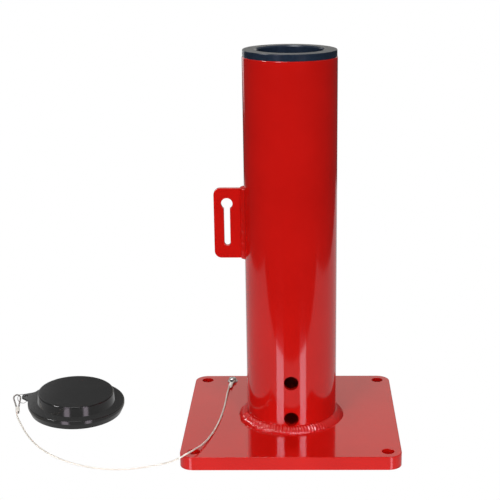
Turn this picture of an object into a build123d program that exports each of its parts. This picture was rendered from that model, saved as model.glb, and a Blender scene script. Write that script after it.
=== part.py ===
"""Surface-mounted post socket: a flanged steel sleeve with two bushes and a tethered rubber cap.

Origin: centre of the base plate's underside, on the sleeve's axis.  +Z is up the sleeve,
the chain lug points to -X and the two locking-pin holes face -Y.  Millimetres.
"""
from build123d import *
import math
import os

# ---- driving dimensions ----------------------------------------------------------------
PLATE_SIZE = 254.0            # square base plate, 10 in
PLATE_THICKNESS = 15.875      # 5/8 in
PLATE_CORNER_R = 16.0
PLATE_EDGE_BREAK = 1.0        # rounding of the top edge
HOLE_EDGE_BREAK = 0.4         # rounding at the anchor holes' upper ends
ANCHOR_SPACING = 222.25       # 8 3/4 in between hole centres, both ways
ANCHOR_HOLE_D = 14.3          # for 1/2 in anchors

TUBE_OD = 107.95              # 4 1/4 in
TUBE_WALL = 6.35              # 1/4 in
TUBE_HEIGHT = 433.7           # above the plate
TUBE_EDGE_BREAK = 0.8
PIN_HOLE_D = 17.2             # both locking-pin holes, through the front wall only
PIN_HOLE_HEIGHTS = (15.1, 60.5)   # hole centres above the plate's top

BUSH_BORE_D = 76.2            # 3 in post
BUSH_PRESS_GAP = 0.1          # radial, bush to tube
BUSH_FLANGE_INSET = 0.525     # flange's edge inside the tube's outer wall
BUSH_FLANGE_T = 7.6
BUSH_LEAD_IN = 1.6            # chamfer at each bore mouth
UPPER_BUSH_DEPTH = 63.5       # below the tube's top
LOWER_BUSH_LENGTH = 50.8
LOWER_BUSH_ABOVE_PIN = 10.0   # from the upper pin hole's edge

BEAD_LEG_PLATE = 9.5          # weld legs at the sleeve's foot
BEAD_LEG_TUBE = 7.0
BEAD_CROWN = 1.1              # how far the bead's face bulges

LUG_THICKNESS = 6.0
LUG_REACH = 35.5              # out from the tube's wall
LUG_HEIGHT = 83.4
LUG_BOTTOM = 199.6            # above the plate's top
LUG_CORNER_R = 8.2
LUG_EDGE_BREAK = 0.6          # rounding of the blasted and painted edges
KEYHOLE_D = 13.4
KEYHOLE_FROM_TOP = 18.5
KEYHOLE_FROM_EDGE = 15.3
KEYHOLE_SLOT_W = 7.0
KEYHOLE_SLOT_END = 15.0       # slot's end above the lug's lower edge
LUG_BEAD_LEG = 5.0
LUG_BEAD_OVERRUN = 1.6        # weld past each end of the lug

CAP_GAP = 0.25                # radial, cap skirt over the tube
CAP_LIP_WALL = 2.8            # skirt at its mouth
CAP_RIM_PROUD = 3.2           # rim outside the mouth
CAP_RIM_BOTTOM = 7.6          # where the rim reaches its full width
CAP_RIM_TOP = 12.0
CAP_ROOF = 2.8                # thickness of every flat web
CAP_DOME_D = 95.6             # at the foot of the raised top
CAP_DOME_DRAFT = 0.8          # radial draft up the raised top
CAP_HEIGHT = 24.6
CAP_WALL = 2.8
CAP_TILT_X = 3.2              # degrees, back edge raised by the springy lanyard
CAP_TILT_Y = 2.1              # degrees, tab side raised
TAB_HOLE_SPOT = (-337.361, 51.752)   # where the tab's hole lies
TAB_HOLE_OUTSIDE = 4.575      # hole's centre beyond the rim, towards -X
TAB_HOLE_OFFSET = 8.5         # and towards +Y
TAB_HOLE_D = 5.0
TAB_THICKNESS = 2.4

RING_RADIUS = 6.0             # split ring, centre line
RING_WIRE_D = 1.2
RING_DROOP = math.radians(29)  # how far the ring hangs below the tab

CABLE_D = 2.0                 # steel wire rope
FERRULE_LENGTH = 11.0
FERRULE_WIDTH = 5.2
FERRULE_HEIGHT = 3.4
EYE_LOOP_R = 4.2              # centre line of the eye's round end
EYE_LENGTH = 12.3             # ferrule face to the round end's centre
EYE_LEG_GAP = 0.1             # between the two legs at the ferrule
TAIL_LENGTH = 3.0             # dead end showing past the ferrule

RIVET_SHANK_D = 4.8
RIVET_HOLE_GAP = 0.05
RIVET_DEPTH = 9.5             # in the plate
RIVET_HEAD_D = 9.6
RIVET_HEAD_H = 2.4
WASHER_D = 12.6
WASHER_T = 1.2
STACK_GAP = 0.1               # washer to eye, eye to rivet head

# Centre line of the lanyard, from the ferrule on the plate to the ferrule at the cap:
# down the plate's left side, over its front corner, and round on the ground.
CABLE_POINTS = [
    (-81.3, 83.5, 18.2), (-82.2, 72.0, 18.2), (-83.0, 52.0, 17.2), (-83.6, 24.0, 17.0),
    (-85.2, -6.0, 17.0), (-88.6, -37.0, 17.0), (-94.0, -69.0, 17.2), (-101.5, -97.0, 18.6),
    (-108.2, -113.4, 20.6), (-113.2, -123.0, 21.5), (-118.6, -128.4, 20.5), (-125.0, -130.4, 17.2),
    (-132.2, -128.0, 12.6), (-140.2, -123.6, 7.8), (-151.5, -120.2, 3.6), (-168.0, -121.8, 1.1),
    (-191.0, -127.6, 1.1), (-219.0, -125.4, 1.1), (-247.0, -113.6, 1.1), (-274.0, -94.4, 1.1),
    (-298.0, -68.0, 1.1), (-317.0, -37.0, 1.1), (-330.2, -8.5, 1.1), (-338.6, 11.0, 1.3),
    (-344.6, 24.4, 2.5), (-346.6, 33.8, 3.95),
]
EYE_RISE = 52.0               # degrees, slope of the cap-end eye

# ---- values worked out from them ----------------------------------------------------------
TUBE_R = TUBE_OD / 2
TUBE_ID = TUBE_OD - 2 * TUBE_WALL
TUBE_TOP = PLATE_THICKNESS + TUBE_HEIGHT
BUSH_FLANGE_R = TUBE_R - BUSH_FLANGE_INSET
BUSH_BODY_R = TUBE_ID / 2 - BUSH_PRESS_GAP
BUSH_BORE_R = BUSH_BORE_D / 2
PIN_HOLE_ZS = [PLATE_THICKNESS + height for height in PIN_HOLE_HEIGHTS]
LOWER_BUSH_Z = max(PIN_HOLE_ZS) + PIN_HOLE_D / 2 + LOWER_BUSH_ABOVE_PIN
LUG_Z = PLATE_THICKNESS + LUG_BOTTOM
LUG_OUTER_X = -(TUBE_R + LUG_REACH)
CABLE_R = CABLE_D / 2
EYE_LEG_X = CABLE_R + EYE_LEG_GAP / 2


def unit(start, end):
    """Direction from one point to another."""
    return (Vector(*end) - Vector(*start)).normalized()


def across(along):
    """Level direction square to the lanyard, from its long part towards its dead end."""
    return along.cross(Vector(0, 0, 1)).normalized()


BASE_AXIS = unit(CABLE_POINTS[1], CABLE_POINTS[0])
CAP_AXIS = unit(CABLE_POINTS[-2], CABLE_POINTS[-1])
BASE_FERRULE = Vector(*CABLE_POINTS[0]) + across(BASE_AXIS) * EYE_LEG_X
CAP_FERRULE = Vector(*CABLE_POINTS[-1]) + across(CAP_AXIS) * EYE_LEG_X
BASE_EYE_START = BASE_FERRULE + BASE_AXIS * FERRULE_LENGTH
CAP_EYE_START = CAP_FERRULE + CAP_AXIS * FERRULE_LENGTH
RIVET_CENTRE = BASE_EYE_START + BASE_AXIS * EYE_LENGTH
EYE_Z = BASE_FERRULE.Z
RIVET_HEAD_Z = EYE_Z + CABLE_R + STACK_GAP
WASHER_Z = EYE_Z - CABLE_R - STACK_GAP - WASHER_T


def axial(z, x=0.0, y=0.0):
    """Upright place at a height."""
    return Pos(x, y, z)


def tube_of(outer_r, inner_r, length):
    """Upright pipe standing on z = 0."""
    wall = Circle(outer_r) - Circle(inner_r)
    return extrude(wall, amount=length)


# ---- base and sleeve ------------------------------------------------------------------------
def anchor_places():
    """The four anchor-hole centres."""
    return [axial(0, x, y) for x in (-ANCHOR_SPACING / 2, ANCHOR_SPACING / 2)
            for y in (-ANCHOR_SPACING / 2, ANCHOR_SPACING / 2)]


def base_plate():
    """Flame-cut plate: rounded corners, four anchor holes and the rivet's blind hole."""
    plate = extrude(RectangleRounded(PLATE_SIZE, PLATE_SIZE, PLATE_CORNER_R), amount=PLATE_THICKNESS)
    top_edges = plate.faces().sort_by(Axis.Z)[-1].edges()
    plate = fillet(top_edges, PLATE_EDGE_BREAK)
    for place in anchor_places():
        plate -= place * extrude(Circle(ANCHOR_HOLE_D / 2), amount=PLATE_THICKNESS)
    mouths = plate.faces().sort_by(Axis.Z)[-1].edges().filter_by(GeomType.CIRCLE)
    mouths = [edge for edge in mouths if abs(edge.radius - ANCHOR_HOLE_D / 2) < 1e-6]
    plate = fillet(mouths, HOLE_EDGE_BREAK)
    rivet_hole = extrude(Circle(RIVET_SHANK_D / 2 + RIVET_HOLE_GAP), amount=RIVET_DEPTH)
    plate -= axial(PLATE_THICKNESS - RIVET_DEPTH, RIVET_CENTRE.X, RIVET_CENTRE.Y) * rivet_hole
    return plate


def pin_holes():
    """The two locking-pin holes as solid bars, from the sleeve's axis out past its front wall."""
    bars = [Pos(0, -TUBE_OD / 2, z) * Rot(90, 0, 0) * Cylinder(PIN_HOLE_D / 2, TUBE_OD) for z in PIN_HOLE_ZS]
    return bars[0] + bars[1:]


def sleeve_tube():
    """Steel pipe with a rounded top edge, drilled through its front wall for the pins."""
    pipe = axial(PLATE_THICKNESS) * tube_of(TUBE_R, TUBE_ID / 2, TUBE_HEIGHT)
    rim = pipe.faces().sort_by(Axis.Z)[-1].edges()
    pipe = fillet(rim, TUBE_EDGE_BREAK)
    return pipe - pin_holes()


def base_weld_bead():
    """Fillet weld all round the foot, with a crowned face, clear of the lower pin hole."""
    foot = (TUBE_R, PLATE_THICKNESS)
    toe = (TUBE_R + BEAD_LEG_PLATE, PLATE_THICKNESS)
    head = (TUBE_R, PLATE_THICKNESS + BEAD_LEG_TUBE)
    middle = ((toe[0] + head[0]) / 2, (toe[1] + head[1]) / 2)
    slant = math.hypot(BEAD_LEG_PLATE, BEAD_LEG_TUBE)
    crown = (middle[0] + BEAD_CROWN * BEAD_LEG_TUBE / slant, middle[1] + BEAD_CROWN * BEAD_LEG_PLATE / slant)
    outline = Polyline(head, foot, toe) + ThreePointArc(toe, crown, head)
    section = Plane.XZ * make_face(outline)
    return revolve(section, Axis.Z) - pin_holes()


# ---- chain lug ----------------------------------------------------------------------------------
def keyhole_lug():
    """Flat lug on edge to the tube, with a keyhole that takes and locks a chain link."""
    centre_x = -(TUBE_R + LUG_REACH / 2)
    centre_z = LUG_Z + LUG_HEIGHT / 2
    blank = Pos(centre_x, centre_z) * Rectangle(LUG_REACH, LUG_HEIGHT)
    outer = blank.vertices().group_by(Axis.X)[0]
    blank = fillet(outer, LUG_CORNER_R)
    hole_x = LUG_OUTER_X + KEYHOLE_FROM_EDGE
    hole_z = LUG_Z + LUG_HEIGHT - KEYHOLE_FROM_TOP
    end_z = LUG_Z + KEYHOLE_SLOT_END + KEYHOLE_SLOT_W / 2
    blank -= Pos(hole_x, hole_z) * Circle(KEYHOLE_D / 2)
    blank -= Pos(hole_x, (hole_z + end_z) / 2) * Rectangle(KEYHOLE_SLOT_W, hole_z - end_z)
    blank -= Pos(hole_x, end_z) * Circle(KEYHOLE_SLOT_W / 2)
    lug = extrude(Plane.XZ * blank, amount=LUG_THICKNESS / 2, both=True)
    faces = lug.faces().filter_by(Axis.Y)
    edges = [edge for face in faces for edge in face.edges() if edge.center().X < -(TUBE_R + 0.1)]
    return fillet(edges, LUG_EDGE_BREAK)


def lug_weld_beads():
    """A fillet weld up each side of the lug, as two solids."""
    depth = LUG_BEAD_LEG * 2
    inner_x = -(TUBE_R - LUG_BEAD_LEG)
    face_y = LUG_THICKNESS / 2
    length = LUG_HEIGHT + 2 * LUG_BEAD_OVERRUN
    beads = []
    for side in (-1, 1):
        outline = Polyline(
            (inner_x, side * face_y),
            (-(TUBE_R + LUG_BEAD_LEG), side * face_y),
            (-(TUBE_R - 0.3 * LUG_BEAD_LEG), side * (face_y + LUG_BEAD_LEG)),
            (inner_x, side * (face_y + depth)),
            close=True,
        )
        bar = axial(LUG_Z - LUG_BEAD_OVERRUN) * extrude(make_face(outline), amount=length, dir=(0, 0, 1))
        beads.append(bar - axial(0) * Cylinder(TUBE_R, 4 * TUBE_HEIGHT))
    return beads


# ---- bushes ---------------------------------------------------------------------------------------
def upper_bush():
    """Flanged plastic bush: the flange covers the tube's end, the body guides the post."""
    body = axial(TUBE_TOP - UPPER_BUSH_DEPTH) * extrude(Circle(BUSH_BODY_R), amount=UPPER_BUSH_DEPTH)
    flange = axial(TUBE_TOP) * extrude(Circle(BUSH_FLANGE_R), amount=BUSH_FLANGE_T)
    rim = flange.edges().group_by(Axis.Z)[-1]
    bush = body + fillet(rim, BUSH_LEAD_IN / 2)
    bush -= axial(0) * extrude(Circle(BUSH_BORE_R), amount=2 * TUBE_TOP)
    return bevel_bore(bush)


def lower_bush():
    """Plain bush that guides the post's foot, above the pin holes."""
    return bevel_bore(axial(LOWER_BUSH_Z) * tube_of(BUSH_BODY_R, BUSH_BORE_R, LOWER_BUSH_LENGTH))


def bevel_bore(bush):
    """Lead-in chamfer at both ends of a bush's bore."""
    circles = bush.edges().filter_by(GeomType.CIRCLE)
    mouths = [edge for edge in circles if abs(edge.radius - BUSH_BORE_R) < 1e-6]
    return chamfer(mouths, BUSH_LEAD_IN)


# ---- cap ------------------------------------------------------------------------------------------
MOUTH_R = TUBE_R + CAP_GAP
LIP_R = MOUTH_R + CAP_LIP_WALL
RIM_R = LIP_R + CAP_RIM_PROUD
DOME_R = CAP_DOME_D / 2
TILT = math.acos(math.cos(math.radians(CAP_TILT_X)) * math.cos(math.radians(CAP_TILT_Y)))
CAP_LIFT = LIP_R * math.sin(TILT)
CAP_TURN = Rot(CAP_TILT_X, CAP_TILT_Y, 0)
TAB_HOLE = (-(RIM_R + TAB_HOLE_OUTSIDE), TAB_HOLE_OFFSET)
TAB_HOLE_REACH = (CAP_TURN * Pos(*TAB_HOLE, CAP_RIM_TOP - TAB_THICKNESS / 2)).position
TAB_HOLE_POINT = Vector(*TAB_HOLE_SPOT, CAP_LIFT + TAB_HOLE_REACH.Z)
CAP_PLACE = Pos(*(TAB_HOLE_POINT - TAB_HOLE_REACH)) * CAP_TURN


def cap_tab():
    """Pointed tab that grows out of the rim and ends round the ring's hole."""
    tip = TAB_HOLE_D
    upper_root = (-0.72 * RIM_R, 0.69 * RIM_R)
    upper_waist = (TAB_HOLE[0] + 7.6, TAB_HOLE[1] + 10.6)
    lower_waist = (TAB_HOLE[0] + 4.6, TAB_HOLE[1] - 12.6)
    lower_root = (-0.958 * RIM_R, -0.25 * RIM_R)
    inside = (-0.7 * RIM_R, 0.1 * RIM_R)
    nose_top = (TAB_HOLE[0] - tip, TAB_HOLE[1] + 0.85 * tip)
    nose_bottom = (TAB_HOLE[0] - tip, TAB_HOLE[1] - 0.9 * tip)
    outline = make_face(Polyline(upper_root, upper_waist, nose_top, nose_bottom, lower_waist,
                                 lower_root, inside, close=True))
    nose = [v for v in outline.vertices() if v.X < TAB_HOLE[0]]
    outline = fillet(nose, 0.62 * tip)
    waist = outline.vertices().sort_by_distance((*upper_waist, 0))[0]
    outline = fillet(waist, 2 * tip)
    outline -= Pos(*TAB_HOLE) * Circle(TAB_HOLE_D / 2)
    return axial(CAP_RIM_TOP - TAB_THICKNESS) * extrude(outline, amount=TAB_THICKNESS)


def sleeve_cap():
    """Moulded rubber cap: skirt over the sleeve's top, thick rim, raised hollow middle, tab."""
    shell = Polyline(
        (0, CAP_HEIGHT), (DOME_R - CAP_DOME_DRAFT, CAP_HEIGHT), (DOME_R, CAP_RIM_TOP),
        (RIM_R, CAP_RIM_TOP), (RIM_R, CAP_RIM_BOTTOM), (LIP_R, 0), (MOUTH_R, 0),
        (MOUTH_R, CAP_RIM_TOP - CAP_ROOF), (DOME_R - CAP_WALL, CAP_RIM_TOP - CAP_ROOF),
        (DOME_R - CAP_WALL - CAP_DOME_DRAFT, CAP_HEIGHT - CAP_ROOF), (0, CAP_HEIGHT - CAP_ROOF),
        close=True,
    )
    section = make_face(shell)
    tops = [v for v in section.vertices() if v.Y > CAP_HEIGHT - 0.1 and v.X > 1]
    section = fillet(tops, CAP_WALL / 2)
    rims = [v for v in section.vertices() if v.X > RIM_R - 0.1]
    section = fillet(rims, CAP_WALL / 3)
    body = revolve(Plane.XZ * section, Axis.Z)
    skirt_space = Cylinder(MOUTH_R, 2 * (CAP_RIM_TOP - CAP_ROOF))
    return CAP_PLACE * (body + (cap_tab() - skirt_space))


# ---- lanyard ----------------------------------------------------------------------------------------
def split_ring():
    """Ring through the tab and the lanyard's eye: its plane is upright and faces -Y."""
    drop = Vector(-math.cos(RING_DROOP), 0, -math.sin(RING_DROOP)) * RING_RADIUS
    centre = TAB_HOLE_POINT + drop
    return Pos(*centre) * Rot(90, 0, 0) * Torus(RING_RADIUS, RING_WIRE_D / 2)


def eye_plane(start, along):
    """Plane of an eye: local Y runs along the lanyard, local X across its two legs."""
    return Plane(origin=start, x_dir=across(along), z_dir=across(along).cross(along))


def lanyard_eye(start, along, tail_end, tail_axis):
    """Teardrop loop of rope, and the dead end that shows at the ferrule's other face."""
    reach = math.hypot(EYE_LEG_X, EYE_LENGTH)
    leg_length = math.sqrt(reach ** 2 - EYE_LOOP_R ** 2)
    angle = math.atan2(EYE_LENGTH, EYE_LEG_X) + math.asin(EYE_LOOP_R / reach)
    turn_x = -EYE_LEG_X + leg_length * math.cos(angle)
    turn_y = leg_length * math.sin(angle)
    path = Wire([
        Line((-EYE_LEG_X, 0), (turn_x, turn_y)).edge(),
        ThreePointArc((turn_x, turn_y), (0, EYE_LENGTH + EYE_LOOP_R), (-turn_x, turn_y)).edge(),
        Line((-turn_x, turn_y), (EYE_LEG_X, 0)).edge(),
    ])
    section = Plane(origin=path @ 0, z_dir=path % 0) * Circle(CABLE_R)
    loop = eye_plane(start, along).location * sweep(section, path=path)
    tail_plane = Plane(origin=tail_end + across(tail_axis) * EYE_LEG_X, z_dir=tail_axis * -1)
    tail = extrude(tail_plane * Circle(CABLE_R), amount=TAIL_LENGTH)
    return [loop, tail]


def ferrule(start, along):
    """Crimped oval sleeve round both parts of the rope."""
    plane = Plane(origin=start, x_dir=across(along), z_dir=along)
    return plane.location * extrude(SlotOverall(FERRULE_WIDTH, FERRULE_HEIGHT), amount=FERRULE_LENGTH)


def cap_eye_axis():
    """Direction of the cap-end eye: on from the ferrule, but rising to the ring."""
    level = Vector(CAP_AXIS.X, CAP_AXIS.Y, 0).normalized()
    rise = math.radians(EYE_RISE)
    return level * math.cos(rise) + Vector(0, 0, math.sin(rise))


def lanyard_cable():
    """Rope between the two ferrules: straight runs joined by the largest tangent arcs."""
    radii = []
    for before, here, after in zip(CABLE_POINTS, CABLE_POINTS[1:], CABLE_POINTS[2:]):
        run_in = Vector(*here) - Vector(*before)
        run_out = Vector(*after) - Vector(*here)
        half_turn = math.radians(run_in.get_angle(run_out)) / 2
        radii.append(0.45 * min(run_in.length, run_out.length) / math.tan(half_turn))
    path = FilletPolyline(*CABLE_POINTS, radius=radii)
    section = Plane(origin=path @ 0, z_dir=path % 0) * Circle(CABLE_R)
    print("cord radii, mm:", [round(r, 1) for r in radii])
    print("cord length, mm:", round(path.length, 1))
    rope = sweep(section, path=path)
    expected = math.pi * CABLE_R ** 2 * path.length
    print("cord volume against section x length:", round(rope.volume / expected, 4))
    return rope


# ---- fixing on the plate -----------------------------------------------------------------------------
def lanyard_rivet():
    """Domed rivet that holds the fixed eye down."""
    shank_z = PLATE_THICKNESS - RIVET_DEPTH
    shank = axial(shank_z) * extrude(Circle(RIVET_SHANK_D / 2), amount=RIVET_HEAD_Z - shank_z)
    head = axial(RIVET_HEAD_Z) * extrude(Circle(RIVET_HEAD_D / 2), amount=RIVET_HEAD_H)
    head = fillet(head.edges().group_by(Axis.Z)[-1], 0.8 * RIVET_HEAD_H)
    return axial(0, RIVET_CENTRE.X, RIVET_CENTRE.Y) * (shank + head)


def rivet_washer():
    """Flat washer under the fixed eye."""
    washer = tube_of(WASHER_D / 2, RIVET_SHANK_D / 2 + RIVET_HOLE_GAP, WASHER_T)
    return axial(WASHER_Z, RIVET_CENTRE.X, RIVET_CENTRE.Y) * washer


# ---- export --------------------------------------------------------------------------------------------
def main():
    os.makedirs("parts", exist_ok=True)
    nodes = {
        "base_plate": base_plate(),
        "sleeve_tube": sleeve_tube(),
        "base_weld_bead": base_weld_bead(),
        "keyhole_lug": keyhole_lug(),
        "lug_weld_beads": lug_weld_beads(),
        "upper_bush": upper_bush(),
        "lower_bush": lower_bush(),
        "sleeve_cap": sleeve_cap(),
        "split_ring": split_ring(),
        "lanyard_cable": lanyard_cable(),
        "cap_end_eye": lanyard_eye(CAP_EYE_START, cap_eye_axis(), CAP_FERRULE, CAP_AXIS),
        "cap_end_ferrule": ferrule(CAP_FERRULE, CAP_AXIS),
        "base_end_eye": lanyard_eye(BASE_EYE_START, BASE_AXIS, BASE_FERRULE, BASE_AXIS),
        "base_end_ferrule": ferrule(BASE_FERRULE, BASE_AXIS),
        "lanyard_rivet": lanyard_rivet(),
        "rivet_washer": rivet_washer(),
    }
    for name, shape in nodes.items():
        solid = Compound(children=shape) if isinstance(shape, list) else shape
        export_step(solid, f"parts/{name}.step")


main()
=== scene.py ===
import bmesh
import bpy
import math
import random

import numpy as np
from mathutils import Matrix, Vector


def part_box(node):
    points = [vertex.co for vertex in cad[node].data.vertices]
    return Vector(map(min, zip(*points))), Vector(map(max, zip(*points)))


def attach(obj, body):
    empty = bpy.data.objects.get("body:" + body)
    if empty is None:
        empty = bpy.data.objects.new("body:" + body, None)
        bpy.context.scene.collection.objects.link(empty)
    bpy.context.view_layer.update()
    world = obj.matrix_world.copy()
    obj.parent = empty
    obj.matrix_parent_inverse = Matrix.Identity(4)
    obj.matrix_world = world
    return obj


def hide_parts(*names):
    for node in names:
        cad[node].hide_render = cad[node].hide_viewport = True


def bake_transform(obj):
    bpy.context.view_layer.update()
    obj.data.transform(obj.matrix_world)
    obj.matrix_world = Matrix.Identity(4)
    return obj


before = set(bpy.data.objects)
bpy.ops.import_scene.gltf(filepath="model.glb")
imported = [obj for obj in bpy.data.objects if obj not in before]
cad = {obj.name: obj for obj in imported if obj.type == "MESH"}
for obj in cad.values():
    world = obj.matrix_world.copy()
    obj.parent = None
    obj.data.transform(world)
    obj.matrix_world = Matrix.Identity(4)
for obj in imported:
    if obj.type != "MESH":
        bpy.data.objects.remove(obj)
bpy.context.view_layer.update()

MM = 0.001


# ---- base plate ----------------------------------------------------------------------------------
# A 5/8 inch steel plate, flame cut to a 10 inch square with rounded corners and drilled for four
# anchors.  It is blasted, sprayed with red polyester powder together with everything welded to
# it, and baked, so one glossy skin runs over plate, welds, sleeve and lug.
def linear(code):
    """The linear colour of an sRGB hex value, as shaders take it."""
    parts = [int(code[at:at + 2], 16) / 255 for at in (0, 2, 4)]
    return (*[p / 12.92 if p <= 0.04045 else ((p + 0.055) / 1.055) ** 2.4 for p in parts], 1.0)


def finish_named(name):
    """An empty node material."""
    made = bpy.data.materials.new(name)
    made.use_nodes = True
    made.node_tree.nodes.clear()
    return made


def add(tree, kind, settings=None, values=None, links=None):
    """One node, with its settings, socket values and incoming links."""
    made = tree.nodes.new(kind)
    for key, value in (settings or {}).items():
        setattr(made, key, value)
    for key, value in (values or {}).items():
        made.inputs[key].default_value = value
    for key, source in (links or {}).items():
        tree.links.new(source, made.inputs[key])
    return made


def ramp_stops(ramp, stops):
    """Sets a colour ramp's stops: (place, colour) pairs."""
    elements = ramp.color_ramp.elements
    while len(elements) < len(stops):
        elements.new(0.5)
    for element, (place, colour) in zip(elements, stops):
        element.position = place
        element.color = colour
    return ramp


def grey(value):
    return (value, value, value, 1.0)


def wear(material, *names):
    """Gives CAD nodes one material in place of their own."""
    for name in names:
        slots = cad[name].data.materials
        slots.clear()
        slots.append(material)


# Gloss polyester powder coat: a deep red skin, mirror smooth close up but with the soft orange
# peel of baked powder, so long reflections waver a little.
powder_coat = finish_named("Gloss polyester powder coat, signal red")
tree = powder_coat.node_tree
place = add(tree, "ShaderNodeTexCoord").outputs["Object"]
cloud = add(tree, "ShaderNodeTexNoise", values={"Scale": 14.0, "Detail": 3.0}, links={"Vector": place})
tone = add(tree, "ShaderNodeValToRGB", links={"Fac": cloud.outputs["Fac"]})
ramp_stops(tone, [(0.3, linear("BE0F09")), (0.7, linear("C8120C"))])
peel = add(tree, "ShaderNodeTexNoise", values={"Scale": 300.0, "Detail": 2.0}, links={"Vector": place})
ripple = add(tree, "ShaderNodeTexNoise", values={"Scale": 45.0, "Detail": 1.0}, links={"Vector": place})
skin = add(tree, "ShaderNodeBump", values={"Strength": 0.06, "Distance": 0.0006},
           links={"Height": ripple.outputs["Fac"]})
skin = add(tree, "ShaderNodeBump", values={"Strength": 0.05, "Distance": 0.0002},
           links={"Height": peel.outputs["Fac"], "Normal": skin.outputs["Normal"]})
gloss = add(tree, "ShaderNodeMapRange", values={"To Min": 0.06, "To Max": 0.12},
            links={"Value": cloud.outputs["Fac"]})
paint = add(tree, "ShaderNodeBsdfPrincipled", values={"IOR": 1.5},
            links={"Base Color": tone.outputs["Color"], "Roughness": gloss.outputs["Result"],
                   "Normal": skin.outputs["Normal"]})
add(tree, "ShaderNodeOutputMaterial", links={"Surface": paint.outputs["BSDF"]})
wear(powder_coat, "base_plate", "sleeve_tube", "keyhole_lug")


# ---- weld at the sleeve's foot -------------------------------------------------------------------
# A fillet weld run by hand all round the sleeve: overlapping ripples of steel with a scalloped toe
# on the plate and on the pipe, uneven where the welder stopped and started, under the same paint.
PLATE_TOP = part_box("base_plate")[1].z
TUBE_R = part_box("sleeve_tube")[1].x
BEAD_TOE = 9.5 * MM                     # reach over the plate
BEAD_HEAD = 7.0 * MM                    # climb up the sleeve
BEAD_CROWN = 1.1 * MM                   # how far its face stands out from flat
BEAD_WAVER = 0.5 * MM                   # slow wobble of both edges
BEAD_BURIED = 0.6 * MM                  # how far the hidden side goes into the steel
BEAD_SUNK = 0.1 * MM                    # how far the edges go into it
BEAD_PARTS = 225                        # round the sleeve, each cut in four
BEAD_ROWS = 17                          # mesh points across the weld, three of them buried
BEAD_TOP_ROW = BEAD_ROWS - 4            # the last that shows
RIPPLE_PITCH = (2.8 * MM, 4.4 * MM)     # along the weld, shortest and longest
RIPPLE_HEIGHT = (0.8 * MM, 1.7 * MM)
RIPPLE_CURVE = 1.7 * MM                 # how far a ripple's ends trail its middle
SCALLOP_DEPTH = (0.5 * MM, 1.5 * MM)    # of the toe
welder = random.Random(11)


def ripple_marks(length, pitch, height):
    """Where each ripple of a weld starts, and how high it stands."""
    starts, heights, at = [0.0], [], 0.0
    while at < length:
        at += welder.uniform(*pitch)
        starts.append(at)
        heights.append(welder.uniform(*height))
    stretch = length / at
    return [start * stretch for start in starts], heights


def ripple_height(marks, at):
    """Height of the rippled skin at a distance along the weld."""
    starts, heights = marks
    at %= starts[-1]
    place = int(np.searchsorted(starts, at, side="right")) - 1
    place = min(place, len(heights) - 1)
    share = (at - starts[place]) / (starts[place + 1] - starts[place])
    return heights[place] * (math.sin(math.pi * share ** 0.75)) ** 0.6


def waver(at, seed, waves):
    """A slow uneven wobble from -1 to 1 round a closed line; at runs from 0 to 1."""
    total = sum(math.sin(2 * math.pi * (count * at + seed * count * 0.37)) / place
                for place, count in enumerate(waves, 1))
    return total / sum(1 / place for place in range(1, len(waves) + 1))


bpy.ops.object.select_all(action="DESELECT")
bpy.ops.mesh.primitive_torus_add(
    location=(0, 0, PLATE_TOP + BEAD_HEAD / 2), major_segments=BEAD_PARTS,
    minor_segments=BEAD_ROWS, major_radius=TUBE_R + BEAD_TOE / 2, minor_radius=BEAD_HEAD / 2)
foot_weld = bpy.context.object
foot_weld.name = "foot_weld"
bpy.ops.object.transform_apply(location=True, rotation=False, scale=False)
bpy.ops.object.mode_set(mode="EDIT")
bpy.ops.mesh.select_mode(type="EDGE")
bpy.ops.mesh.select_all(action="DESELECT")
# only the edges that run round the sleeve are cut, so the rows across the weld stay as they are
shape = bmesh.from_edit_mesh(foot_weld.data)
for edge in shape.edges:
    here, there = (corner.co for corner in edge.verts)
    edge.select = abs(here.x * there.y - here.y * there.x) > 1e-6
bmesh.update_edit_mesh(foot_weld.data)
bpy.ops.mesh.subdivide(number_cuts=3)
bpy.ops.object.mode_set(mode="OBJECT")
girth = 2 * math.pi * (TUBE_R + BEAD_TOE / 2)
foot_marks = ripple_marks(girth, RIPPLE_PITCH, RIPPLE_HEIGHT)
scallop = ripple_marks(girth, RIPPLE_PITCH, SCALLOP_DEPTH)
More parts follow.
